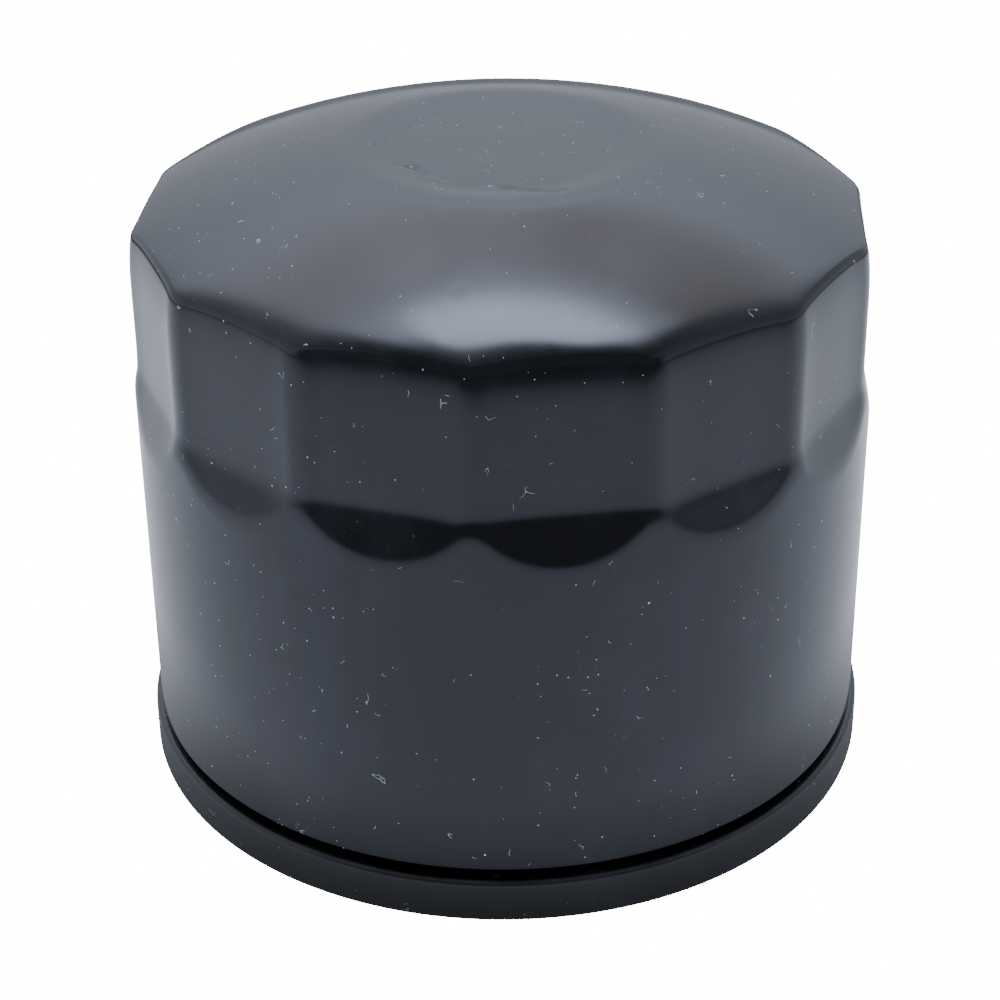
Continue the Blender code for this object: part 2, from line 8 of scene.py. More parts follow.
import bmesh
import bpy
import mathutils
import numpy as np
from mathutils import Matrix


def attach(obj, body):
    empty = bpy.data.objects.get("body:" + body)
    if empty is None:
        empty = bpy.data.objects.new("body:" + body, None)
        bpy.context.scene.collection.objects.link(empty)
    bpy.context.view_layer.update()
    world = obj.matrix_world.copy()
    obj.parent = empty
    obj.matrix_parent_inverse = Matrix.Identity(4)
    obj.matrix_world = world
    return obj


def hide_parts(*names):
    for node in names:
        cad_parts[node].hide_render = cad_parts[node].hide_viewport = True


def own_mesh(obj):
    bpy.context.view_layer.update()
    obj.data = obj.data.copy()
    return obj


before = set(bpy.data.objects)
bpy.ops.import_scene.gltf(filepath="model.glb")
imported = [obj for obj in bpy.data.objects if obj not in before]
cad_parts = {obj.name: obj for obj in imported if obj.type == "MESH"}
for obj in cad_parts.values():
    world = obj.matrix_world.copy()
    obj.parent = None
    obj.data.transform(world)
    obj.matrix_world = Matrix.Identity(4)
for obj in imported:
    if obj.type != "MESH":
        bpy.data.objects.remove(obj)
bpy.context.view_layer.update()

MM = 0.001

# Canister: fourteen flats below a shallow dome, all rolled into the rim at the bottom
FLUTES = 14
COLUMNS = FLUTES * 32
TOP_Z = 66.85
DOME_R = 87.0
RECESS_R = 14.8
RECESS_DEPTH = 0.6
RECESS_IN = 10.6
RECESS_OUT = 17.2
FLOOR_RISE = 0.0003
SHOULDER_R = 1.3
SHOULDER_START = math.radians(62.0)
DOME_EASE = 3.2
SHOULDER_EASE = math.radians(10.0)
EASE_TALL = 6.0
APOTHEM = 36.3
RIDGE_ROUND = 5.2
FLAT_DISH = 0.14
FLAT_Z0 = 45.2
LEDGE_START_Z = FLAT_Z0 + 2.6
LEDGE_END_Z = 38.6
LEDGE_SLOPE = 0.283
LEDGE_ROUND = 0.8
LEDGE_BLEND = 0.28
WALL_R = 37.6
SHEET = 0.5
NECK_Z = 6.3
BODY_WALL_R = 35.75
HOOK_R = 36.75
HOOK_FLOOR_Z = 2.45
HOOK_TOP_Z = 4.3
RIM_ROWS = 36


def smaller(a, b, blend):
    """Smooth minimum of a and b: where they differ by less than blend, a parabola joins them."""
    near = np.clip(blend - np.abs(a - b), 0.0, None) / blend
    return np.minimum(a, b) - near * near * blend / 4


def flute_radius(turn, apothem):
    """Radius of a fourteen-sided polygon with round corners, turn radians from the -Y direction.

    Along a flat it is apothem / cos(off), off being the angle from the flat's middle. Past the tangent
    point it is the far side of a circle of radius RIDGE_ROUND whose centre lies on the corner's own radius.
    A dish of FLAT_DISH, even across a flat's middle and gone at the corners, is taken off.
    """
    half = math.pi / FLUTES
    off = np.abs((turn + half) % (2 * half) - half)
    to_corner = half - off
    reach = (apothem - RIDGE_ROUND) / math.cos(half)
    tangent = np.arctan2((apothem - RIDGE_ROUND) * math.tan(half), apothem)
    under_root = np.clip(RIDGE_ROUND**2 - (reach * np.sin(to_corner)) ** 2, 0.0, None)
    circle = reach * np.cos(to_corner) + np.sqrt(under_root)
    dish = FLAT_DISH * (1.0 - np.clip(off / tangent, 0.0, 1.0) ** 4)
    return np.where(off < tangent, apothem / np.cos(off), circle) - dish


def dome_height(r):
    """Height of the domed top: a sphere of DOME_R with a round recess.

    Between RECESS_OUT and RECESS_IN the sphere eases down to a floor that rises with the radius squared.
    """
    centre = TOP_Z - math.sqrt(DOME_R**2 - RECESS_R**2)
    sphere = centre + np.sqrt(DOME_R**2 - r**2)
    floor = TOP_Z - RECESS_DEPTH + FLOOR_RISE * r**2
    share = np.clip((r - RECESS_IN) / (RECESS_OUT - RECESS_IN), 0.0, 1.0)
    return floor + (sphere - floor) * share * share * (3 - 2 * share)


# Knocks on the dome: x, y, direction in degrees, half length, half width, depth
KNOCKS = (
    (-8.4, -4.7, -58.0, 1.7, 0.42, 0.255),
    (-9.3, -3.4, -20.0, 1.0, 0.34, 0.187),
    (-6.6, -6.9, -75.0, 0.8, 0.30, 0.136),
    (-0.9, -10.4, -24.0, 1.5, 0.34, 0.204),
    (1.7, -11.7, -30.0, 1.3, 0.32, 0.221),
    (3.6, -12.4, -12.0, 0.9, 0.30, 0.153),
    (-2.8, -9.4, 8.0, 0.9, 0.32, 0.102),
    (13.1, -9.2, 35.0, 1.2, 0.30, 0.102),
    (-7.7, -26.4, -15.0, 0.6, 0.30, 0.05),
    (6.5, -24.0, 20.0, 2.6, 1.50, 0.051),
)


def knock_depth(x, y):
    """Sum of shallow bell-shaped dents, each longer along its own direction than across it."""
    depth = np.zeros_like(x)
    for spot_x, spot_y, degrees, half_long, half_wide, deep in KNOCKS:
        lean = math.radians(degrees)
        along = (x - spot_x) * math.cos(lean) + (y - spot_y) * math.sin(lean)
        across = (y - spot_y) * math.cos(lean) - (x - spot_x) * math.sin(lean)
        depth += deep * np.exp(-((along / half_long) ** 2) - (across / half_wide) ** 2)
    return depth


def soften(points, radius, steps=6):
    """Polyline with each inner corner replaced by a parabola that starts and ends radius away from it."""
    out = [np.array(points[0], float)]
    for before, here, after in zip(points[:-2], points[1:-1], points[2:]):
        before, here, after = (np.array(p, float) for p in (before, here, after))
        back = before - here
        ahead = after - here
        reach = min(radius, 0.48 * np.hypot(*back), 0.48 * np.hypot(*ahead))
        start = here + back / np.hypot(*back) * reach
        end = here + ahead / np.hypot(*ahead) * reach
        for t in np.linspace(0.0, 1.0, steps + 1):
            out.append((1 - t) ** 2 * start + 2 * t * (1 - t) * here + t**2 * end)
    out.append(np.array(points[-1], float))
    return np.array(out)


def can_skin():
    """Outer skin as radius and height: rows run from the dome's middle to the hook, columns round the axis.

    Dome rows run out to the shoulder and drop away over the last DOME_EASE as a cube. Shoulder rows follow
    an arc of SHOULDER_R that stops short of upright by SHOULDER_EASE, and a second cubic ease leads on to
    the fluted wall. Ledge rows take the smaller of the round wall and a plane that leans out below FLAT_Z0,
    and the rim rows follow the rolled section.
    """
    turn = np.linspace(0.0, 2 * math.pi, COLUMNS, endpoint=False)
    wall = flute_radius(turn, APOTHEM)
    ease = math.tan(SHOULDER_EASE) * EASE_TALL / 3
    centre_r = wall - ease - SHOULDER_R * math.cos(SHOULDER_EASE)
    start_r = centre_r + SHOULDER_R * math.cos(SHOULDER_START)
    slope = 1.0 / math.tan(SHOULDER_START) - start_r / np.sqrt(DOME_R**2 - start_r**2)
    drop = slope * DOME_EASE / 3
    centre_z = dome_height(start_r) - drop - SHOULDER_R * math.sin(SHOULDER_START)
    rows_r = []
    rows_z = []
    for r in np.concatenate([np.linspace(1.5, 6.0, 7), np.linspace(6.3, RECESS_OUT, 38)]):
        rows_r.append(np.full(COLUMNS, r))
        rows_z.append(dome_height(rows_r[-1]))
    for u in np.linspace(0.0, 1.0, 25)[1:] ** 0.8:
        rows_r.append(RECESS_OUT + u * (start_r - RECESS_OUT))
        gone = np.clip(1.0 - (start_r - rows_r[-1]) / DOME_EASE, 0.0, None)
        rows_z.append(dome_height(rows_r[-1]) - drop * gone**3)
    dome_rows = len(rows_r)
    for u in np.linspace(0.0, 1.0, 13)[1:]:
        angle = SHOULDER_START * (1 - u) + SHOULDER_EASE * u
        rows_r.append(centre_r + SHOULDER_R * np.cos(angle))
        rows_z.append(centre_z + SHOULDER_R * np.sin(angle))
    end_z = rows_z[-1].copy()
    for u in np.linspace(0.0, 1.0, 15)[1:] ** 1.3:
        rows_z.append(end_z + u * (LEDGE_START_Z - end_z))
        left = np.clip(1.0 - (end_z - rows_z[-1]) / EASE_TALL, 0.0, None)
        rows_r.append(wall - ease * left**3)
    for z in np.linspace(LEDGE_START_Z, LEDGE_END_Z, 34)[1:]:
        below = FLAT_Z0 - z
        lean = LEDGE_SLOPE * (below + math.sqrt(below**2 + LEDGE_ROUND**2)) / 2
        fade = min(1.0, (LEDGE_START_Z - z) / 1.5)
        leaned = flute_radius(turn, APOTHEM + lean * fade)
        rows_r.append(smaller(leaned, np.full(COLUMNS, WALL_R), LEDGE_BLEND))
        rows_z.append(np.full(COLUMNS, z))
    for z in np.linspace(LEDGE_END_Z, NECK_Z + 1.1, 12)[1:]:
        rows_r.append(np.full(COLUMNS, WALL_R))
        rows_z.append(np.full(COLUMNS, z))
    rim = soften(
        [
            (WALL_R, NECK_Z + 1.0),
            (WALL_R, NECK_Z + 0.42),
            (WALL_R - 0.42, NECK_Z + 0.30),
            (WALL_R - 0.46, NECK_Z - 0.05),
            (BODY_WALL_R, NECK_Z - 0.20),
            (BODY_WALL_R, HOOK_FLOOR_Z),
            (HOOK_R, HOOK_FLOOR_Z),
            (HOOK_R, HOOK_TOP_Z),
        ],
        0.30,
        4,
    )
    for r, z in rim:
        rows_r.append(np.full(COLUMNS, r))
        rows_z.append(np.full(COLUMNS, z))
    radius = np.array(rows_r)
    height = np.array(rows_z)
    dome = radius[:dome_rows]
    height[:dome_rows] -= knock_depth(dome * np.sin(turn), -dome * np.cos(turn))
    return turn, radius, height


def around(turn, radius, height):
    """Points at the given radius and height, turned from the -Y direction towards +X."""
    turn = np.broadcast_to(turn, radius.shape)
    return np.stack([radius * np.sin(turn), -radius * np.cos(turn), height], axis=-1)


def grid_normals(points):
    """Unit normals of a grid closed along its columns, outward for a skin whose rows run downward."""
    across = np.roll(points, -1, axis=1) - np.roll(points, 1, axis=1)
    down = np.gradient(points, axis=0)
    normal = np.cross(down, across)
    return normal / np.linalg.norm(normal, axis=-1, keepdims=True)


# ---- meshes ----


def sheet_faces(rows, columns):
    """Quads between neighbouring rows of a grid whose columns close on themselves."""
    row = np.arange(rows - 1)[:, None] * columns
    below = row + columns
    here = np.arange(columns)[None, :]
    after = (here + 1) % columns
    return np.stack([row + here, below + here, below + after, row + after], axis=-1).reshape(-1, 4)


def link_object(mesh):
    """Object at the origin that shows a mesh under the mesh's own name."""
    made = bpy.data.objects.new(mesh.name, mesh)
    bpy.context.scene.collection.objects.link(made)
    return made


def smooth_object(mesh, sharp_degrees):
    """Object from a mesh shaded smooth, apart from edges that turn more than sharp_degrees."""
    mesh.shade_smooth()
    mesh.set_sharp_from_angle(angle=math.radians(sharp_degrees))
    return link_object(mesh)


def make_object(name, points, faces, sharp_degrees):
    """Object from points in millimetres and a list of face arrays."""
    mesh = bpy.data.meshes.new(name)
    mesh.from_pydata((points * MM).tolist(), [], [face for block in faces for face in block.tolist()])
    mesh.validate()
    return smooth_object(mesh, sharp_degrees)


def build_can():
    """Fluted canister as one closed sheet: the outer skin and a coarser one that lies SHEET inside it.

    The inner skin is set off along the outer one's normals. It keeps every eighth row, but every second of
    the last RIM_ROWS, where the seam bends tightly.
    """
    turn, radius, height = can_skin()
    outer = around(turn, radius, height)
    inward = outer - SHEET * grid_normals(outer)
    wide = np.arange(0, len(outer) - RIM_ROWS, 8)
    tight = np.arange(len(outer) - RIM_ROWS, len(outer), 2)
    keep = np.unique(np.concatenate([wide, tight, [len(outer) - 1]]))
    rows = np.concatenate([outer, inward[keep][::-1]])
    crown = dome_height(0.0)
    points = np.concatenate([rows.reshape(-1, 3), [[0, 0, crown], [0, 0, crown - SHEET]]])
    top = len(points) - 2
    here = np.arange(COLUMNS)
    after = (here + 1) % COLUMNS
    last = (len(rows) - 1) * COLUMNS
    faces = [
        sheet_faces(len(rows), COLUMNS),
        np.stack([np.full(COLUMNS, top), here, after], axis=-1),
        np.stack([np.full(COLUMNS, top + 1), last + after, last + here], axis=-1),
    ]
    return make_object("fluted_canister", points, faces, 60.0)


def turned_loop(name, section, columns, sharp_degrees=50.0):
    """Ring from a closed section in radius and height that runs down its outer side."""
    turn = np.linspace(0.0, 2 * math.pi, columns, endpoint=False)
    section = np.array(section, float)
    radius = np.repeat(section[:, :1], columns, axis=1)
    height = np.repeat(section[:, 1:], columns, axis=1)
    points = around(turn, radius, height).reshape(-1, 3)
    faces = sheet_faces(len(section), columns)
    here = np.arange(columns)
    after = (here + 1) % columns
    last = (len(section) - 1) * columns
    closing = np.stack([last + here, here, after, last + after], axis=-1)
    return make_object(name, points, [faces, closing], sharp_degrees)


def thick_line(line, thickness):
    """Closed section round an open middle line, half the thickness to each side along its mitred normals."""
    step = np.diff(line, axis=0)
    step /= np.linalg.norm(step, axis=1, keepdims=True)
    before = np.vstack([step[:1], step])
    after = np.vstack([step, step[-1:]])
    along = before + after
    along /= np.linalg.norm(along, axis=1, keepdims=True)
    normal = np.stack([-along[:, 1], along[:, 0]], axis=1)
    mitre = 1.0 / np.clip((along * after).sum(axis=1, keepdims=True), 0.5, 1.0)
    side = normal * mitre * thickness / 2
    return np.vstack([line + side, (line - side)[::-1]])


def build_lid():
    """Seaming lid: an edge rolled over the canister's hook, a floor ring and the gasket's channel."""
    line = soften(
        [
            (36.25, 2.95),
            (36.25, 5.45),
            (38.0, 5.42),
            (38.0, 1.15),
            (34.75, 1.15),
            (34.75, 3.45),
            (31.9, 3.45),
            (31.9, 5.55),
            (26.95, 5.55),
            (26.95, 3.0),
        ],
        0.42,
        7,
    )
    return turned_loop("rolled_rim_lid", thick_line(line, SHEET), 288)


def build_lower_cap():
    """Lower end cap: a flat ring turned up round its edge and again as a lip inside the tube."""
    line = soften([(32.75, 18.2), (32.75, 15.15), (11.45, 15.15), (11.45, 18.2)], 0.7, 6)
    return turned_loop("folded_lower_cap", thick_line(line, SHEET), 256)


def build_upper_cap():
    """Upper end cap: a flat ring round the bypass opening, its edge turned down over the pleats."""
    line = soften([(7.0, 56.55), (32.75, 56.55), (32.75, 53.5)], 0.7, 6)
    return turned_loop("folded_upper_cap", thick_line(line, SHEET), 256)


def build_gasket():
    """Sealing ring with a crowned face and round corners."""
    outer_r, crown_r, inner_r, edge_z, top_z = 31.3, 29.4, 27.55, 0.25, 4.95
    face = [(outer_r, edge_z), (crown_r, 0.0), (inner_r, edge_z)]
    start = (outer_r, 4.0)
    section = soften([start, *face, (inner_r, top_z), (outer_r, top_z), start], 0.7, 5)
    return turned_loop("gasket_ring", section[:-1], 192)


def closed_from(name, blocks, sharp_degrees):
    """Object from grids of points in millimetres whose shared borders are welded into one closed skin.

    Each block is a grid, closed along its columns, and whether its last row joins its first.
    """
    work = bmesh.new()
    for grid, joined in blocks:
        rows, columns = grid.shape[:2]
        verts = [work.verts.new(point) for point in (grid.reshape(-1, 3) * MM).tolist()]
        for i in range(rows if joined else rows - 1):
            here = i * columns
            below = (i + 1) % rows * columns
            for j in range(columns):
                after = (j + 1) % columns
                work.faces.new([verts[k] for k in (here + j, below + j, below + after, here + after)])
    bmesh.ops.remove_doubles(work, verts=work.verts[:], dist=2e-7)
    bmesh.ops.dissolve_degenerate(work, edges=work.edges[:], dist=1e-7)
    bmesh.ops.recalc_face_normals(work, faces=work.faces[:])
    mesh = bpy.data.meshes.new(name)
    work.to_mesh(mesh)
    work.free()
    return smooth_object(mesh, sharp_degrees)


# Base plate: eight inlet holes round a threaded collar
INLETS = 8
INLET_R = 2.5
INLET_CIRCLE_R = 18.95
PLATE_R = 34.5
PLATE_Z0 = 6.1
PLATE_Z1 = 8.6
COLLAR_R = 11.2
COLLAR_Z1 = 13.6
THREAD_PITCH = 25.4 / 16
THREAD_MINOR_R = 8.75
THREAD_MAJOR_R = 9.525
PLATE_ROUND = 0.3
FILLET = 0.4
LEAD_IN = 0.4
SPLIT = 24


def sector_outline(inner_r, outer_r, side_steps):
    """Loop round one eighth of the plate, centred on +X: inner arc, side, outer arc and side."""
    half = math.pi / INLETS
    sweep = np.linspace(-half, half, SPLIT + 1)[:-1]
    angle = np.concatenate([sweep, np.full(side_steps, half), -sweep, np.full(side_steps, -half)])
    out = np.linspace(inner_r, outer_r, side_steps + 1)[:-1]
    back = np.linspace(outer_r, inner_r, side_steps + 1)[:-1]
    radius = np.concatenate([np.full(SPLIT, inner_r), out, np.full(SPLIT, outer_r), back])
    return np.stack([radius * np.cos(angle), radius * np.sin(angle)], axis=-1)


def circled(angle, rows):
    """Grid of points round the axis from rows that each give a radius for every angle, and one height."""
    east, north = np.cos(angle), np.sin(angle)
    return np.stack([np.stack([r * east, r * north, np.full(len(angle), z)], 1) for r, z in rows])


def thread_radius(angle, height):
    """Internal right-hand thread: minor radius with a V groove whose phase climbs one pitch per turn."""
    phase = np.mod(height / THREAD_PITCH - angle / (2 * math.pi), 1.0)
    slope = np.clip((0.80 - np.abs(phase - 0.5) * 2) / 0.66, 0.0, 1.0)
    return THREAD_MINOR_R + (THREAD_MAJOR_R - THREAD_MINOR_R) * slope * slope * (3 - 2 * slope)


def build_plate():
    """Base plate: flat rings from each hole to its sector's outline, the plate's edge and threaded collar.

    Between a hole and its outline each point is a straight blend of the two loops. The collar's rows run up
    its outside and down its bore, where the radius is the thread or the countersink, whichever is wider.
    """
    mouth = THREAD_MAJOR_R + LEAD_IN
    under = sector_outline(mouth, PLATE_R - PLATE_ROUND, 12)
    above = sector_outline(COLLAR_R + FILLET, PLATE_R - PLATE_ROUND, 12)
    centre = np.array([INLET_CIRCLE_R, 0.0])
    way = under - centre
    way /= np.linalg.norm(way, axis=1, keepdims=True)
    ring = centre + way * (INLET_R + PLATE_ROUND)
    bends = np.linspace(0.0, math.pi / 2, 4)
    levels = [(ring + (under - ring) * share, PLATE_Z0) for share in (1.0, 0.75, 0.5, 0.3, 0.12)]
    for bend in bends:
        loop = centre + way * (INLET_R + PLATE_ROUND - PLATE_ROUND * math.sin(bend))
        levels.append((loop, PLATE_Z0 + PLATE_ROUND - PLATE_ROUND * math.cos(bend)))
    for bend in bends[::-1]:
        loop = centre + way * (INLET_R + PLATE_ROUND - PLATE_ROUND * math.sin(bend))
        levels.append((loop, PLATE_Z1 - PLATE_ROUND + PLATE_ROUND * math.cos(bend)))
    levels += [(ring + (above - ring) * share, PLATE_Z1) for share in (0.12, 0.3, 0.5, 0.75, 1.0)]
    patch = np.stack([np.column_stack([loop, np.full(len(loop), z)]) for loop, z in levels])
    blocks = []
    for index in range(INLETS):
        spin = 2 * math.pi * (index + 0.5) / INLETS
        turned = patch.copy()
        turned[..., 0] = patch[..., 0] * math.cos(spin) - patch[..., 1] * math.sin(spin)
        turned[..., 1] = patch[..., 0] * math.sin(spin) + patch[..., 1] * math.cos(spin)
        blocks.append((turned, False))
    angle = np.arange(INLETS * SPLIT) * 2 * math.pi / (INLETS * SPLIT)
    edge = [
        (PLATE_R - PLATE_ROUND, PLATE_Z0),
        (PLATE_R - 0.09, PLATE_Z0 + 0.09),
        (PLATE_R, PLATE_Z0 + PLATE_ROUND),
        (PLATE_R, PLATE_Z1 - PLATE_ROUND),
        (PLATE_R - 0.09, PLATE_Z1 - 0.09),
        (PLATE_R - PLATE_ROUND, PLATE_Z1),
    ]
    blocks.append((circled(angle, [(np.full(len(angle), r), z) for r, z in edge]), False))
    collar = [
        (COLLAR_R + FILLET, PLATE_Z1),
        (COLLAR_R + 0.12, PLATE_Z1 + 0.12),
        (COLLAR_R, PLATE_Z1 + FILLET),
        (COLLAR_R, COLLAR_Z1 - PLATE_ROUND),
        (COLLAR_R - 0.09, COLLAR_Z1 - 0.09),
        (COLLAR_R - PLATE_ROUND, COLLAR_Z1),
    ]
    rows = [(np.full(len(angle), r), z) for r, z in collar]
    for z in np.linspace(COLLAR_Z1, PLATE_Z0, 121):
        flare = max(mouth - (z - PLATE_Z0), THREAD_MAJOR_R + 0.15 - (COLLAR_Z1 - z))
        rows.append((np.maximum(thread_radius(angle, z), min(flare, mouth)), z))
    rows[-1] = (np.full(len(angle), mouth), PLATE_Z0)
    blocks.append((circled(angle, rows), False))
    return closed_from("threaded_base_plate", blocks, 40.0)


def build_valve():
    """Anti-drain valve: turned section with a beaded lip and twelve low ribs that fade out at hub and lip."""
    section = soften(
        [
            (14.6, 14.0),
            (14.6, 14.6),
            (12.2, 14.6),
            (11.5, 14.3),
            (11.5, 8.9),
            (13.5, 8.9),
            (13.5, 12.0),
            (14.5, 12.5),
            (20.0, 10.62),
            (26.2, 8.95),
            (28.0, 8.9),
            (28.0, 9.56),
            (27.4, 10.0),
            (26.2, 10.0),
            (20.0, 11.72),
            (15.3, 13.55),
            (14.6, 14.0),
        ],
        0.28,
        4,
    )[:-1]
    turn = np.linspace(0.0, 2 * math.pi, 288, endpoint=False)
    radius = np.repeat(section[:, :1], len(turn), axis=1)
    height = np.repeat(section[:, 1:], len(turn), axis=1)
    skirt_top = 13.55 - (radius - 15.3) * (13.55 - 10.0) / (26.2 - 15.3)
    on_top = (height > skirt_top - 0.4) & (radius > 15.4) & (radius < 26.3)
    rib = np.exp(-((np.mod(turn * 12 / (2 * math.pi), 1.0) - 0.5) / 0.07) ** 2)
    height = height + on_top * rib * 0.22
    return closed_from("ribbed_drain_valve", [(around(turn, radius, height), True)], 50.0)


def build_leaf():
    """Hold-down leaf: loops blend from the hole to the waisted outline, with half the sheet on either side.

    The middle surface's height is a parabola to the power 1.2, less a bell-shaped bead along both arms.
    """
    half_long, wide, foot, low, high, sheet, hole = 23.0, 12.0, 4.0, 57.1, 65.4, 0.6, 3.0
    side = np.linspace(-1.0, 1.0, 33)[:-1]
    one = np.ones(32)
    edges = ((side, -one), (one, side), (-side, one), (-one, -side))
    square = np.concatenate([np.stack(pair, 1) for pair in edges])
    angle = np.arctan2(square[:, 1], square[:, 0])
    waist = 1.0 - 0.35 * np.abs(square[:, 0]) ** 1.5
    corner = np.clip(np.abs(square[:, 0]) - 0.93, 0.0, None) / 0.07
    half_wide = wide / 2 * waist * (1.0 - 0.16 * corner**2)
    edge = np.stack([square[:, 0] * half_long, square[:, 1] * half_wide], 1)
    ring = hole * np.stack([np.cos(angle), np.sin(angle)], 1)
    share = np.concatenate([[0.0, 0.02], np.linspace(0.05, 0.97, 30), [0.985, 1.0]])
    flat = ring[None] + (edge - ring)[None] * share[:, None, None]
    x = flat[..., 0]
    y = flat[..., 1]
    bow = np.clip(1.0 - (np.abs(x) / (half_long - foot)) ** 2, 0.0, None)
    arms = np.clip((np.abs(x) - 5.0) / 3.0, 0.0, 1.0) * np.clip((18.0 - np.abs(x)) / 4.0, 0.0, 1.0)
    bead = 0.3 * np.exp(-((y / 1.3) ** 2)) * arms
    z = low + sheet / 2 + (high - low - sheet) * bow**1.2 - bead
    middle = np.stack([x, y, z], axis=-1)
    normal = grid_normals(middle)
    normal *= np.sign(normal[..., 2:])
    top = middle + normal * sheet / 2
    bottom = middle - normal * sheet / 2
    skin = np.concatenate([bottom, top[::-1]])
    skin[..., 2] = np.clip(skin[..., 2], low, high)
    return closed_from("bowed_leaf", [(skin, True)], 40.0)


def build_coil():
    """Bypass coil: round wire swept along a helix of five turns whose end turns lie close together.

    The wire's height is the running sum of a climbing rate that is low over the end turns.
    """
    radius, wire, low, high = 5.5, 0.45, 43.8, 52.1
    t = np.linspace(0.0, 1.0, 361)
    turns = 5.0 * t
    rate = 0.92 + 1.28 * np.clip((turns - 0.8) / 0.4, 0.0, 1.0) * np.clip((4.2 - turns) / 0.4, 0.0, 1.0)
    climb = np.concatenate([[0.0], np.cumsum((rate[1:] + rate[:-1]) / 2)])
    climb = (low + wire) + (high - low - 2 * wire) * climb / climb[-1]
    angle = 2 * math.pi * turns
    path = np.stack([radius * np.cos(angle), radius * np.sin(angle), climb], axis=-1)
    outward = np.stack([np.cos(angle), np.sin(angle), np.zeros_like(angle)], axis=-1)
    along = np.gradient(path, axis=0)
    along /= np.linalg.norm(along, axis=1, keepdims=True)
    upward = np.cross(along, outward)
    spin = np.linspace(0.0, 2 * math.pi, 16, endpoint=False)
    swell = np.concatenate([[0.0, 0.75, 1.0], np.ones(len(t) - 6), [1.0, 0.75, 0.0]])
    circle = outward[:, None] * np.cos(spin)[None, :, None] + upward[:, None] * np.sin(spin)[None, :, None]
    tube = path[:, None] + wire * swell[:, None, None] * circle
    return closed_from("wound_coil", [(tube, False)], 60.0)


# ---- shading ----


class Nodes:
    """Adds nodes to one tree and joins them; a value is either a socket to link or a constant to set."""

    def __init__(self, tree):
        self.tree = tree

    def add(self, kind, settings=None, **inputs):
        made = self.tree.nodes.new(kind)
        for key, value in (settings or {}).items():
            setattr(made, key, value)
        for key, value in inputs.items():
            self.put(made.inputs[key.replace("_", " ")], value)
        return made

    def put(self, socket, value):
        if isinstance(value, bpy.types.NodeSocket):
            self.tree.links.new(value, socket)
        else:
            socket.default_value = value

    def math(self, operation, a, b=0.0, clamp=False):
        made = self.tree.nodes.new("ShaderNodeMath")
        made.operation = operation
        made.use_clamp = clamp
        self.put(made.inputs[0], a)
        self.put(made.inputs[1], b)
        return made.outputs[0]

    def vector(self, operation, a, b=(0.0, 0.0, 0.0)):
        made = self.tree.nodes.new("ShaderNodeVectorMath")
        made.operation = operation
        self.put(made.inputs[0], a)
        self.put(made.inputs[1], b)
        return made.outputs["Value" if operation in ("LENGTH", "DOT_PRODUCT") else "Vector"]

    def fit(self, value, low, high, to_low=0.0, to_high=1.0):
        """Smooth step that takes low to to_low and high to to_high."""
        made = self.tree.nodes.new("ShaderNodeMapRange")
        made.interpolation_type = "SMOOTHSTEP"
        names = ("Value", "From Min", "From Max", "To Min", "To Max")
        for name, given in zip(names, (value, low, high, to_low, to_high)):
            self.put(made.inputs[name], given)
        return made.outputs[0]

    def grey(self, value):
        return self.add("ShaderNodeCombineColor", Red=value, Green=value, Blue=value).outputs[0]

    def mix_colour(self, share, a, b, blend="MIX"):
        made = self.tree.nodes.new("ShaderNodeMix")
        made.data_type = "RGBA"
        made.blend_type = blend
        self.put(made.inputs[0], share)
        self.put(made.inputs[6], a)
        self.put(made.inputs[7], b)
        return made.outputs[2]

    def choose(self, share, first, second):
        """Mix of two shaders."""
        made = self.tree.nodes.new("ShaderNodeMixShader")
        self.put(made.inputs[0], share)
        self.put(made.inputs[1], first.outputs[0])
        self.put(made.inputs[2], second.outputs[0])
        return made


def node_group(name, inputs, outputs):
    """Shader group that reads a place and named inputs with their usual values; its outputs are numbers."""
    group = bpy.data.node_groups.new(name, "ShaderNodeTree")
    group.interface.new_socket(name="Vector", in_out="INPUT", socket_type="NodeSocketVector")
    for label, value in inputs.items():
        kind = "NodeSocketFloat" if isinstance(value, float) else "NodeSocketVector"
        socket = group.interface.new_socket(name=label, in_out="INPUT", socket_type=kind)
        socket.default_value = value
    for label in outputs:
        group.interface.new_socket(name=label, in_out="OUTPUT", socket_type="NodeSocketFloat")
    nodes = Nodes(group)
    return group, nodes, nodes.add("NodeGroupInput").outputs, nodes.add("NodeGroupOutput").inputs


def speck_group():
    """Specks: in some cells of a pattern, a spot whose size differs from cell to cell."""
    group, n, given, out = node_group("dust_specks", {"Scale": 600.0, "Share": 0.05, "Size": 0.2}, ("Mask",))
    cells = n.add("ShaderNodeTexVoronoi", {"feature": "F1"}, Vector=given["Vector"], Scale=given["Scale"])
    tint = n.add("ShaderNodeSeparateColor", Color=cells.outputs["Color"])
    chosen = n.math("LESS_THAN", tint.outputs[0], given["Share"])
    reach = n.math("MULTIPLY", given["Size"], n.math("ADD", tint.outputs[1], 0.35))
    spot = n.fit(cells.outputs["Distance"], n.math("MULTIPLY", reach, 0.6), reach, 1.0, 0.0)
    n.put(out["Mask"], n.math("MULTIPLY", spot, chosen))
    return group


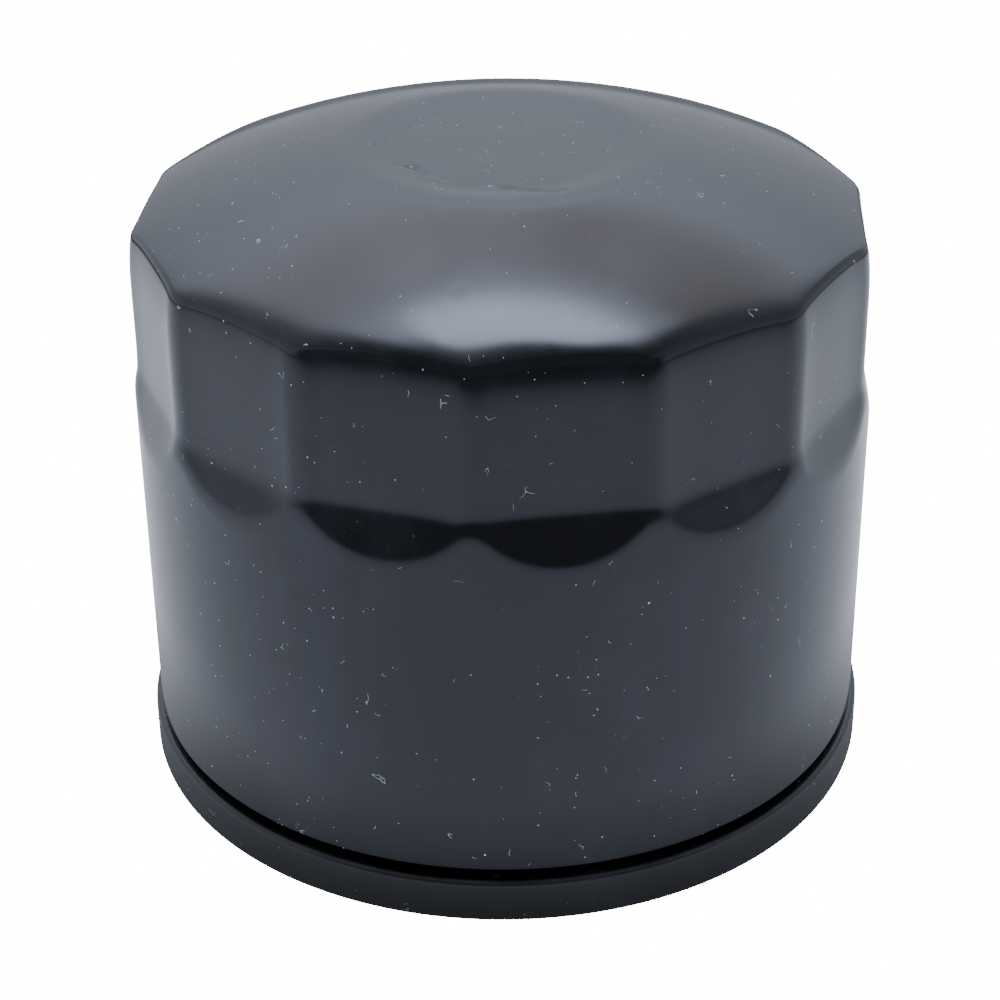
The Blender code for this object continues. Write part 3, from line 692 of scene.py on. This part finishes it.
def lint_group():
    """Short fibres: thin stretches of the borders between warped cells, kept where a patchy noise is high."""
    group, n, given, out = node_group("lint_fibres", {}, ("Mask",))
    place = given["Vector"]
    width = 0.0095
    bend = n.add("ShaderNodeTexNoise", Vector=place, Scale=900.0, Detail=1.0)
    shift = n.vector("MULTIPLY", bend.outputs["Color"], (0.0016, 0.0016, 0.0016))
    moved = n.vector("ADD", place, shift)
    border = n.add("ShaderNodeTexVoronoi", {"feature": "DISTANCE_TO_EDGE"}, Vector=moved, Scale=300.0)
    patch = n.add("ShaderNodeTexNoise", Vector=place, Scale=620.0, Detail=0.0)
    line = n.fit(border.outputs["Distance"], width / 2, width, 1.0, 0.0)
    short = n.fit(patch.outputs["Fac"], 0.757, 0.777)
    n.put(out["Mask"], n.math("MULTIPLY", line, short))
    return group


def sheen_group():
    """Handling marks: broad cloudy patches crossed by fine long rubs, centred on zero."""
    group, n, given, out = node_group("rubbed_sheen", {"Patch Scale": 60.0}, ("Clouds", "Rubs"))
    place = given["Vector"]
    clouds = n.add("ShaderNodeTexNoise", Vector=place, Scale=given["Patch Scale"], Detail=4.0, Roughness=0.6)
    stretch = n.add("ShaderNodeMapping", Vector=place, Scale=(1.0, 1.0, 0.12), Rotation=(0.5, 0.4, 0.0))
    rubs = n.add("ShaderNodeTexNoise", Vector=stretch.outputs[0], Scale=300.0, Detail=5.0, Roughness=0.65)
    n.put(out["Clouds"], n.math("SUBTRACT", clouds.outputs["Fac"], 0.5))
    n.put(out["Rubs"], n.math("SUBTRACT", rubs.outputs["Fac"], 0.5))
    return group


def peel_group():
    """Paint surface: a fine orange peel over slow waves."""
    group, n, given, out = node_group("paint_peel", {}, ("Height",))
    place = given["Vector"]
    fine = n.add("ShaderNodeTexNoise", Vector=place, Scale=1200.0, Detail=2.0, Roughness=0.5)
    wide = n.add("ShaderNodeTexNoise", Vector=place, Scale=160.0, Detail=2.0, Roughness=0.5)
    n.put(out["Height"], n.math("ADD", fine.outputs["Fac"], n.math("MULTIPLY", wide.outputs["Fac"], 2.0)))
    return group


def grain_group():
    """Rolled or turned metal: fine streaks, long along one axis, over a soft mottle."""
    group, n, given, out = node_group("metal_grain", {"Stretch": (1.0, 1.0, 1.0)}, ("Streaks", "Mottle"))
    scaled = n.vector("MULTIPLY", given["Vector"], given["Stretch"])
    streaks = n.add("ShaderNodeTexNoise", Vector=scaled, Scale=2500.0, Detail=4.0, Roughness=0.6)
    mottle = n.add("ShaderNodeTexNoise", Vector=given["Vector"], Scale=220.0, Detail=5.0, Roughness=0.6)
    n.put(out["Streaks"], streaks.outputs["Fac"])
    n.put(out["Mottle"], mottle.outputs["Fac"])
    return group


SPECKS = speck_group()
LINT = lint_group()
SHEEN = sheen_group()
PEEL = peel_group()
GRAIN = grain_group()

HAZE = (0.45, 0.48, 0.60, 1.0)
DUST = (0.80, 0.82, 0.86, 1.0)
GREASE = (0.0105, 0.0085, 0.0035, 1.0)


def finish_material(name):
    """New material, with its node helper, its shader and the Object coordinates."""
    made = bpy.data.materials.new(name)
    made.use_nodes = True
    nodes = Nodes(made.node_tree)
    shader = made.node_tree.nodes["Principled BSDF"]
    place = nodes.add("ShaderNodeTexCoord").outputs["Object"]
    return made, nodes, shader, place


def use_group(nodes, group, **inputs):
    return nodes.add("ShaderNodeGroup", {"node_tree": group}, **inputs).outputs


def black_enamel(name, colour, roughness, dust, tint, peel, smears=(), wear_and_highlight=None):
    """Black baked enamel: dusty in patches, a little smudged, with a faint orange peel.

    A smear is a centre, the reach of its ragged edge and the roughness it adds; the last argument is the
    lowest and highest height of a lighter edge line, painted highlight and wear together, and the colour that
    shows there.
    """
    made, n, shader, place = finish_material(name)
    sheen = use_group(n, SHEEN, Vector=place)
    patchy = n.fit(sheen["Clouds"], -0.10, 0.13, 0.22, 2.5)
    some = n.math("MULTIPLY", patchy, 0.075 * dust)
    many = n.math("MULTIPLY", patchy, 0.26 * dust)
    big = use_group(n, SPECKS, Vector=place, Scale=520.0, Share=some, Size=0.06)["Mask"]
    small = use_group(n, SPECKS, Vector=place, Scale=1150.0, Share=many, Size=0.095)["Mask"]
    lint = use_group(n, LINT, Vector=place)["Mask"]
    specks = n.math("MAXIMUM", big, n.math("MULTIPLY", small, 0.8))
    dirt = n.math("MAXIMUM", specks, n.math("MULTIPLY", lint, 0.6 * dust), clamp=True)
    cloudy = n.math("ADD", sheen["Clouds"], n.math("MULTIPLY", sheen["Rubs"], 0.35))
    hazed = n.mix_colour(n.fit(cloudy, -0.03, 0.2, 0.0, 0.018), colour, HAZE)
    base = n.mix_colour(dirt, hazed, DUST)
    smudge = n.math("ADD", n.math("MULTIPLY", sheen["Clouds"], 0.16), n.math("MULTIPLY", sheen["Rubs"], 0.06))
    rough = n.math("ADD", n.math("ADD", smudge, roughness), n.math("MULTIPLY", dirt, 0.4))
    for centre, reach, rougher in smears:
        scaled = n.vector("DIVIDE", n.vector("SUBTRACT", place, centre), reach)
        ragged = n.math("ADD", n.vector("LENGTH", scaled), n.math("MULTIPLY", sheen["Clouds"], 1.6))
        ragged = n.math("ADD", ragged, n.math("MULTIPLY", sheen["Rubs"], 0.3))
        mask = n.fit(ragged, 0.35, 1.1, 1.0, 0.0)
        rough = n.math("ADD", rough, n.math("MULTIPLY", mask, rougher))
        base = n.mix_colour(mask, base, GREASE)
    # Lighter line along an edge: a painted highlight, and wear on the edge as well.
    if wear_and_highlight:
        low, high, wear_highlight_colour = wear_and_highlight
        up = n.add("ShaderNodeSeparateXYZ", Vector=place).outputs["Z"]
        edge = n.math("MULTIPLY", n.fit(up, low, low + 0.00012), n.fit(up, high - 0.00008, high, 1.0, 0.0))
        edge = n.math("MULTIPLY", edge, n.fit(sheen["Rubs"], -0.16, 0.10, 0.15, 1.0))
        base = n.mix_colour(edge, base, wear_highlight_colour)
    n.put(shader.inputs["Base Color"], base)
    n.put(shader.inputs["Roughness"], rough)
    shader.inputs["Specular Tint"].default_value = tint
    height = use_group(n, PEEL, Vector=place)["Height"]
    bump = n.add("ShaderNodeBump", Strength=peel, Distance=0.00001, Height=height)
    n.put(shader.inputs["Normal"], bump.outputs[0])
    return made


def plated_steel(name, colour, roughness, stretch):
    """Bright sheet steel: streaked along its rolling direction, with a soft mottle in colour and gloss."""
    made, n, shader, place = finish_material(name)
    grain = use_group(n, GRAIN, Vector=place, Stretch=stretch)
    shade = n.math("ADD", 0.86, n.math("MULTIPLY", grain["Mottle"], 0.28))
    n.put(shader.inputs["Base Color"], n.mix_colour(1.0, colour, n.grey(shade), "MULTIPLY"))
    uneven = n.math("MULTIPLY", n.math("ADD", grain["Streaks"], grain["Mottle"]), 0.12)
    n.put(shader.inputs["Roughness"], n.math("ADD", uneven, roughness - 0.12))
    shader.inputs["Metallic"].default_value = 1.0
    bump = n.add("ShaderNodeBump", Strength=0.15, Distance=0.00002, Height=grain["Streaks"])
    n.put(shader.inputs["Normal"], bump.outputs[0])
    return made


def moulded_rubber(name, colour, roughness, dust):
    """Moulded rubber: a dull bloom in patches, fine pores and a little dust."""
    made, n, shader, place = finish_material(name)
    sheen = use_group(n, SHEEN, Vector=place, Patch_Scale=140.0)
    dirt = use_group(n, SPECKS, Vector=place, Scale=1100.0, Share=0.03 * dust, Size=0.12)["Mask"]
    bloom = n.fit(sheen["Clouds"], -0.1, 0.25, 0.0, 0.35)
    pale = tuple(min(1.0, c * 1.8 + 0.02) for c in colour[:3]) + (1.0,)
    rubber = n.mix_colour(bloom, colour, pale)
    n.put(shader.inputs["Base Color"], n.mix_colour(dirt, rubber, (0.5, 0.5, 0.5, 1.0)))
    n.put(shader.inputs["Roughness"], n.math("ADD", roughness, n.math("MULTIPLY", sheen["Clouds"], 0.25)))
    pores = n.add("ShaderNodeTexNoise", Vector=place, Scale=3500.0, Detail=2.0)
    bump = n.add("ShaderNodeBump", Strength=0.2, Distance=0.00002, Height=pores.outputs["Fac"])
    n.put(shader.inputs["Normal"], bump.outputs[0])
    return made


def pleat_paper(name):
    """Resin-bonded filter paper: felted fibres, a fine crepe and amber patches where the resin is thicker."""
    made, n, shader, place = finish_material(name)
    fibres = n.add("ShaderNodeTexNoise", Vector=place, Scale=2600.0, Detail=6.0, Roughness=0.7)
    resin = n.add("ShaderNodeTexNoise", Vector=place, Scale=130.0, Detail=3.0)
    amber = n.mix_colour(resin.outputs["Fac"], (0.74, 0.56, 0.27, 1.0), (0.60, 0.41, 0.16, 1.0))
    shade = n.fit(fibres.outputs["Fac"], 0.3, 0.7, 0.0, 0.35)
    n.put(shader.inputs["Base Color"], n.mix_colour(shade, amber, (0.86, 0.73, 0.47, 1.0)))
    n.put(shader.inputs["Roughness"], n.fit(fibres.outputs["Fac"], 0.2, 0.8, 0.75, 0.95))
    bump = n.add("ShaderNodeBump", Strength=0.5, Distance=0.00004, Height=fibres.outputs["Fac"])
    n.put(shader.inputs["Normal"], bump.outputs[0])
    return made


def cured_resin(name):
    """Poured adhesive: tan, glossy in pools, with small bubbles."""
    made, n, shader, place = finish_material(name)
    pools = n.add("ShaderNodeTexNoise", Vector=place, Scale=180.0, Detail=3.0)
    bubbles = use_group(n, SPECKS, Vector=place, Scale=900.0, Share=0.12, Size=0.25)["Mask"]
    tan = n.mix_colour(pools.outputs["Fac"], (0.46, 0.36, 0.21, 1.0), (0.34, 0.25, 0.13, 1.0))
    n.put(shader.inputs["Base Color"], tan)
    n.put(shader.inputs["Roughness"], n.fit(pools.outputs["Fac"], 0.3, 0.7, 0.25, 0.5))
    bump = n.add("ShaderNodeBump", Strength=0.4, Distance=0.00005, Height=n.math("SUBTRACT", 1.0, bubbles))
    n.put(shader.inputs["Normal"], bump.outputs[0])
    return made


# ---- pieces ----

ALONG_AXIS = (1.0, 1.0, 0.06)
ACROSS_X = (0.06, 1.0, 1.0)
EVEN = (1.0, 1.0, 1.0)
TINPLATE = (0.66, 0.66, 0.63, 1.0)

CAN_BLACK = (0.0008, 0.0009, 0.0010, 1.0)
CAN_TINT = (0.97, 1.0, 1.14, 1.0)
SMEARS = (
    ((0.0135, -0.0235, 0.064), (0.0115, 0.0066, 0.02), 0.15),
    ((-0.0125, -0.0205, 0.064), (0.0045, 0.0040, 0.02), 0.13),
)
can = build_can()
can.data.materials.append(black_enamel("can_enamel", CAN_BLACK, 0.15, 1.0, CAN_TINT, 0.08, SMEARS))
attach(can, "housing")
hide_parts("canister")

RIM_BLACK = (0.0022, 0.0023, 0.0026, 1.0)
RIM_TINT = (1.0, 1.0, 1.06, 1.0)
# Rim's top edge: a thin lighter line, a painted highlight and wear together.
RIM_WEAR_AND_HIGHLIGHT = (0.00542, 0.00568, (0.028, 0.029, 0.032, 1.0))
lid = build_lid()
lid.data.materials.append(black_enamel("rim_enamel", RIM_BLACK, 0.36, 0.6, RIM_TINT, 0.15, wear_and_highlight=RIM_WEAR_AND_HIGHLIGHT))
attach(lid, "housing")
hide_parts("seaming_lid")

gasket = build_gasket()
gasket.data.materials.append(moulded_rubber("gasket_nitrile", (0.012, 0.012, 0.013, 1.0), 0.42, 0.6))
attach(gasket, "housing")
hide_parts("sealing_gasket")

plate = build_plate()
plate.data.materials.append(plated_steel("plate_zinc", (0.62, 0.63, 0.62, 1.0), 0.34, ACROSS_X))
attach(plate, "housing")
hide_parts("base_plate")

leaf = build_leaf()
leaf.data.materials.append(plated_steel("leaf_blued", (0.36, 0.38, 0.43, 1.0), 0.30, ACROSS_X))
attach(leaf, "housing")
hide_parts("hold_down_spring")
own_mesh(leaf)

coil = build_coil()
coil.data.materials.append(plated_steel("coil_wire", (0.48, 0.49, 0.51, 1.0), 0.28, EVEN))
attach(coil, "element")
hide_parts("bypass_spring")
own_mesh(coil)

valve = build_valve()
valve.data.materials.append(moulded_rubber("valve_silicone", (0.20, 0.045, 0.028, 1.0), 0.38, 0.2))
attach(valve, "drain_valve")
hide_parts("anti_drain_valve")
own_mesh(valve)

for cap, level in ((build_lower_cap(), "lower"), (build_upper_cap(), "upper")):
    cap.data.materials.append(plated_steel(level + "_cap_tinplate", TINPLATE, 0.30, ACROSS_X))
    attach(cap, "element")
    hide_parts(level + "_end_cap")

CARRIED = {
    "seam_compound": moulded_rubber("seam_compound_grey", (0.30, 0.29, 0.27, 1.0), 0.6, 0.2),
    "lower_adhesive": cured_resin("lower_plastisol"),
    "upper_adhesive": cured_resin("upper_plastisol"),
    "center_tube": plated_steel("tube_sheet", (0.52, 0.53, 0.54, 1.0), 0.36, ALONG_AXIS),
    "pleated_media": pleat_paper("filter_paper"),
    "media_seam_clip": plated_steel("clip_strip", (0.60, 0.60, 0.59, 1.0), 0.32, ALONG_AXIS),
    "bypass_seat": plated_steel("seat_turned", (0.62, 0.62, 0.61, 1.0), 0.28, ACROSS_X),
    "bypass_seal": moulded_rubber("seal_nitrile", (0.014, 0.014, 0.014, 1.0), 0.5, 0.1),
    "bypass_plunger": plated_steel("plunger_stamped", (0.64, 0.64, 0.62, 1.0), 0.28, ACROSS_X),
    "plunger_stem": plated_steel("stem_yellow_zinc", (0.72, 0.62, 0.38, 1.0), 0.28, ALONG_AXIS),
    "bypass_cage": plated_steel("cage_pressed", (0.56, 0.57, 0.57, 1.0), 0.33, ALONG_AXIS),
}
for node, look in CARRIED.items():
    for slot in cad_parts[node].material_slots:
        slot.material = look

# ---- stage, light and camera ----

VIEW_AZIMUTH = math.radians(-8.42)
VIEW_ELEVATION = 0.4929
VIEW_DISTANCE = 0.25235
VIEW_HEIGHT = 0.0332
VIEW_ROLL = -0.0097
BACKDROP = 19.0
LIGHT_PEAK = 10.0
COOL = (0.93, 1.0, 1.15, 1.0)


def ramp(n, value, stops):
    """Grey ramp whose stops are pairs of a position and a level, as a share of LIGHT_PEAK."""
    made = n.add("ShaderNodeValToRGB", Fac=value)
    elements = made.color_ramp.elements
    while len(elements) < len(stops):
        elements.new(0.5)
    for element, (position, level) in zip(elements, stops):
        element.position = position
        element.color = (level / LIGHT_PEAK, level / LIGHT_PEAK, level / LIGHT_PEAK, 1.0)
    return made.outputs[0]


def build_floor():
    """Sheet of white paper that glows for reflections: a painted pool of light round the filter that falls
    off with distance, and a painted shadow under its rim; the camera sees it plain white.

    It is unseen from below. The distance counts for less towards the sides than towards the front.
    """
    mesh = bpy.data.meshes.new("floor")
    side, front, back = 0.7, -0.26, 0.6
    corners = [(-side, front, 0.0), (side, front, 0.0), (side, back, 0.0), (-side, back, 0.0)]
    mesh.from_pydata(corners, [], [(0, 1, 2, 3)])
    made = link_object(mesh)
    paper = bpy.data.materials.new("floor_paper")
    paper.use_nodes = True
    n = Nodes(paper.node_tree)
    n.tree.nodes.clear()
    spot = n.add("ShaderNodeTexCoord").outputs["Object"]
    away = n.vector("LENGTH", spot)
    sidelong = n.add("ShaderNodeSeparateXYZ", Vector=spot).outputs["X"]
    sidelong = n.math("DIVIDE", sidelong, n.math("MAXIMUM", away, 0.001))
    sideways = n.math("MULTIPLY", sidelong, sidelong)
    shortened = n.math("MULTIPLY", away, n.math("SUBTRACT", 1.0, n.math("MULTIPLY", sideways, 0.42)))
    # Painted pool of light: the floor's glow is brightest round the filter and falls off with distance.
    wide = ramp(
        n,
        n.math("MULTIPLY", shortened, 2.0),
        [(0.0, 1.13), (0.22, 1.13), (0.30, 1.05), (0.40, 0.80), (0.48, 0.50), (0.54, 0.26), (1.0, 0.2)],
    )
    # Painted contact shadow: the glow drops to about a quarter under the rim.
    painted_contact_shadow = n.fit(n.math("MULTIPLY", away, 10.0), 0.36, 0.58, 0.24, 1.0)
    share = n.math("MULTIPLY", painted_contact_shadow, n.math("ADD", 1.0, n.math("MULTIPLY", sideways, 0.05)))
    level = n.mix_colour(1.0, wide, n.grey(share), "MULTIPLY")
    lit = n.add("ShaderNodeEmission", Color=n.mix_colour(1.0, level, COOL, "MULTIPLY"), Strength=LIGHT_PEAK)
    plain = n.add("ShaderNodeEmission", Color=(1.0, 1.0, 1.0, 1.0), Strength=BACKDROP)
    above = n.choose(n.add("ShaderNodeLightPath").outputs["Is Camera Ray"], lit, plain)
    clear = n.add("ShaderNodeBsdfTransparent")
    whole = n.choose(n.add("ShaderNodeNewGeometry").outputs["Backfacing"], above, clear)
    n.put(n.add("ShaderNodeOutputMaterial").inputs["Surface"], whole.outputs[0])
    mesh.materials.append(paper)


def build_surroundings():
    """Studio round the object: a pale sweep behind it, one wide soft light high behind, dim in front.

    Levels depend on the direction: its height, up, and how far it points behind the filter or to its right.
    """
    world = bpy.data.worlds.new("studio")
    bpy.context.scene.world = world
    world.use_nodes = True
    n = Nodes(world.node_tree)
    n.tree.nodes.clear()
    way = n.add("ShaderNodeTexCoord").outputs["Generated"]
    height = n.add("ShaderNodeSeparateXYZ", Vector=way).outputs["Z"]
    up = n.math("MAXIMUM", height, 0.0)
    level = n.math("SQRT", n.math("MAXIMUM", n.math("SUBTRACT", 1.0, n.math("MULTIPLY", up, up)), 0.0001))
    back = n.vector("DOT_PRODUCT", way, (-math.sin(VIEW_AZIMUTH), math.cos(VIEW_AZIMUTH), 0.0))
    right = n.vector("DOT_PRODUCT", way, (math.cos(VIEW_AZIMUTH), math.sin(VIEW_AZIMUTH), 0.0))
    behind = n.math("DIVIDE", back, level)
    aside = n.math("DIVIDE", right, level)
    sweep = ramp(
        n,
        up,
        [
            (0.0, 0.72),
            (0.13, 0.84),
            (0.216, 0.98),
            (0.30, 1.12),
            (0.383, 1.28),
            (0.462, 1.5),
            (0.537, 1.85),
            (0.609, 2.1),
            (0.676, 2.3),
            (0.737, 2.35),
            (0.793, 2.5),
            (0.843, 2.8),
            (0.872, 3.3),
            (0.93, 4.5),
            (0.955, 0.8),
            (0.97, 0.28),
        ],
    )
    middle = n.math("MULTIPLY", n.fit(up, 0.60, 0.74), n.fit(up, 0.83, 0.865, 1.0, 0.0))
    sweep = n.mix_colour(middle, sweep, (1.03, 0.955, 0.90, 1.0), "MULTIPLY")
    dim = n.math("MULTIPLY", middle, n.fit(right, -0.05, 0.26))
    sweep = n.mix_colour(dim, sweep, (0.67, 0.635, 0.60, 1.0), "MULTIPLY")
    side = ramp(n, up, [(0.0, 1.0), (0.3, 0.93), (0.7, 0.8), (0.84, 0.72), (0.91, 0.35), (1.0, 0.26)])
    leaned = n.mix_colour(1.0, side, n.grey(n.fit(right, -0.9, 0.9, 1.0, 0.76)), "MULTIPLY")
    front = ramp(n, up, [(0.0, 0.2), (0.15, 0.28), (0.5, 0.26), (1.0, 0.26)])
    near = n.mix_colour(n.fit(behind, -0.62, -0.42), front, leaned)
    whole = n.mix_colour(n.fit(behind, 0.70, 0.80), near, sweep)
    lamp = n.math("MULTIPLY", n.fit(up, 0.874, 0.906), n.fit(up, 0.950, 0.962, 1.0, 0.0))
    lamp = n.math("MULTIPLY", lamp, n.fit(n.math("ADD", behind, n.math("MULTIPLY", aside, 0.1)), 0.835, 0.90))
    whole = n.mix_colour(lamp, whole, (0.88, 0.88, 0.88, 1.0))
    below = n.fit(height, -0.55, -0.40, 1.0, 0.0)
    whole = n.mix_colour(below, whole, (0.32, 0.32, 0.32, 1.0))
    lit = n.add("ShaderNodeBackground", Color=n.mix_colour(1.0, whole, COOL, "MULTIPLY"), Strength=LIGHT_PEAK)
    plain = n.add("ShaderNodeBackground", Color=(1.0, 1.0, 1.0, 1.0), Strength=BACKDROP)
    seen = n.choose(n.add("ShaderNodeLightPath").outputs["Is Camera Ray"], lit, plain)
    n.put(n.add("ShaderNodeOutputWorld").inputs["Surface"], seen.outputs[0])


def build_camera():
    """Camera looking down at the filter from a little to its left."""
    lens = bpy.data.cameras.new("camera")
    lens.sensor_width = 36.0
    lens.lens = 86.607
    lens.shift_x = -0.00366
    lens.shift_y = -0.05626
    lens.clip_start = 0.01
    made = bpy.data.objects.new("camera", lens)
    bpy.context.scene.collection.objects.link(made)
    flat = math.cos(VIEW_ELEVATION)
    made.location = (
        VIEW_DISTANCE * math.sin(VIEW_AZIMUTH) * flat,
        -VIEW_DISTANCE * math.cos(VIEW_AZIMUTH) * flat,
        VIEW_HEIGHT + VIEW_DISTANCE * math.sin(VIEW_ELEVATION),
    )
    aim = mathutils.Euler((math.pi / 2 - VIEW_ELEVATION, 0.0, VIEW_AZIMUTH)).to_matrix()
    made.rotation_euler = (aim @ mathutils.Matrix.Rotation(VIEW_ROLL, 3, "Z")).to_euler()
    bpy.context.scene.camera = made


build_floor()
build_surroundings()
build_camera()
